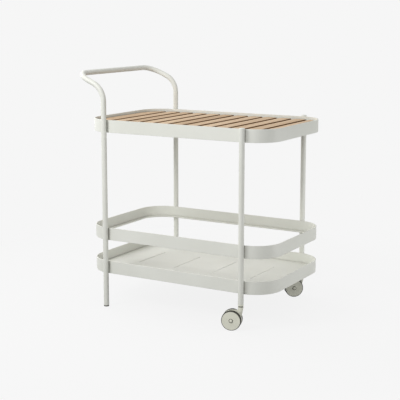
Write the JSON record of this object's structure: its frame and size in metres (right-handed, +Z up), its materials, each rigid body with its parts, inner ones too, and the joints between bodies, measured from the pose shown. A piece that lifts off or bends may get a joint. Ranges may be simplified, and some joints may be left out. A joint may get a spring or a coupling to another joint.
{
  "type": "serving trolley",
  "caption": "Serving trolley of bent tube with a slatted wooden top in a rim, a guard rail, a slotted lower tray, a push handle and swivel casters.",
  "frame": {"origin": "middle of the trolley's bounding box, on the floor", "axes": "+X along the length towards the casters, +Y from the front long side to the rear one, +Z up"},
  "size_m": [0.7745, 0.5368, 0.85],
  "materials": {
    "frame_paint": "matt powder coat, pale warm grey",
    "wood": "oiled teak",
    "caster_plastic": "satin, pale warm grey",
    "glide_plastic": "matt dark grey",
    "tyre": "matt grey rubber",
    "steel": "zinc plated",
    "screw_steel": "stainless"
  },
  "bodies": {
    "trolley_frame": {"bottom_band": "frame_paint", "bottom_band_ledge": "frame_paint", "bottom_band_welds": "frame_paint", "bottom_tray_sheet": "frame_paint", "caster_leg_front": "frame_paint", "caster_leg_rear": "frame_paint", "foot_glide_front": "glide_plastic", "foot_glide_rear": "glide_plastic", "handle_leg_hoop": "frame_paint", "leg_top_cap_front": "frame_paint", "leg_top_cap_rear": "frame_paint", "middle_rail": "frame_paint", "middle_rail_ledge": "frame_paint", "middle_rail_welds": "frame_paint", "slat_01": "wood", "slat_02": "wood", "slat_03": "wood", "slat_04": "wood", "slat_05": "wood", "slat_06": "wood", "slat_07": "wood", "slat_08": "wood", "slat_09": "wood", "slat_10": "wood", "slat_11": "wood", "slat_12": "wood", "slat_bearer_front": "wood", "slat_bearer_middle": "wood", "slat_bearer_rear": "wood", "slat_screws": "screw_steel", "swivel_socket_front": "caster_plastic", "swivel_socket_rear": "caster_plastic", "top_band": "frame_paint", "top_band_ledge": "frame_paint", "top_band_welds": "frame_paint"},
    "caster_front": {"swivel_stem_front": "steel", "swivel_collar_front": "glide_plastic", "caster_housing_front": "caster_plastic", "caster_axle_front": "steel", "axle_cap_left_front": "caster_plastic", "axle_cap_right_front": "caster_plastic"},
    "wheel_left_front_body": {"wheel_left_front": "caster_plastic", "tyre_left_front": "tyre"},
    "wheel_right_front_body": {"wheel_right_front": "caster_plastic", "tyre_right_front": "tyre"},
    "caster_rear": {"swivel_stem_rear": "steel", "swivel_collar_rear": "glide_plastic", "caster_housing_rear": "caster_plastic", "caster_axle_rear": "steel", "axle_cap_left_rear": "caster_plastic", "axle_cap_right_rear": "caster_plastic"},
    "wheel_left_rear_body": {"wheel_left_rear": "caster_plastic", "tyre_left_rear": "tyre"},
    "wheel_right_rear_body": {"wheel_right_rear": "caster_plastic", "tyre_right_rear": "tyre"}
  },
  "joints": [
    {"name": "front_caster_swivel", "type": "hinge", "parent": "trolley_frame", "child": "caster_front", "pos_m": [0.29125, -0.23239, 0.08], "axis": [0, 0, 1], "continuous": true},
    {"name": "front_left_wheel_spin", "type": "hinge", "parent": "caster_front", "child": "wheel_left_front_body", "pos_m": [0.26256, -0.24116, 0.034], "axis": [0.2924, -0.9563, 0], "continuous": true},
    {"name": "front_right_wheel_spin", "type": "hinge", "parent": "caster_front", "child": "wheel_right_front_body", "pos_m": [0.26256, -0.24116, 0.034], "axis": [0.2924, -0.9563, 0], "continuous": true},
    {"name": "rear_caster_swivel", "type": "hinge", "parent": "trolley_frame", "child": "caster_rear", "pos_m": [0.29125, 0.25201, 0.08], "axis": [0, 0, 1], "continuous": true},
    {"name": "rear_left_wheel_spin", "type": "hinge", "parent": "caster_rear", "child": "wheel_left_rear_body", "pos_m": [0.26729, 0.23396, 0.034], "axis": [0.6018, -0.7986, 0], "continuous": true},
    {"name": "rear_right_wheel_spin", "type": "hinge", "parent": "caster_rear", "child": "wheel_right_rear_body", "pos_m": [0.26729, 0.23396, 0.034], "axis": [0.6018, -0.7986, 0], "continuous": true}
  ]
}
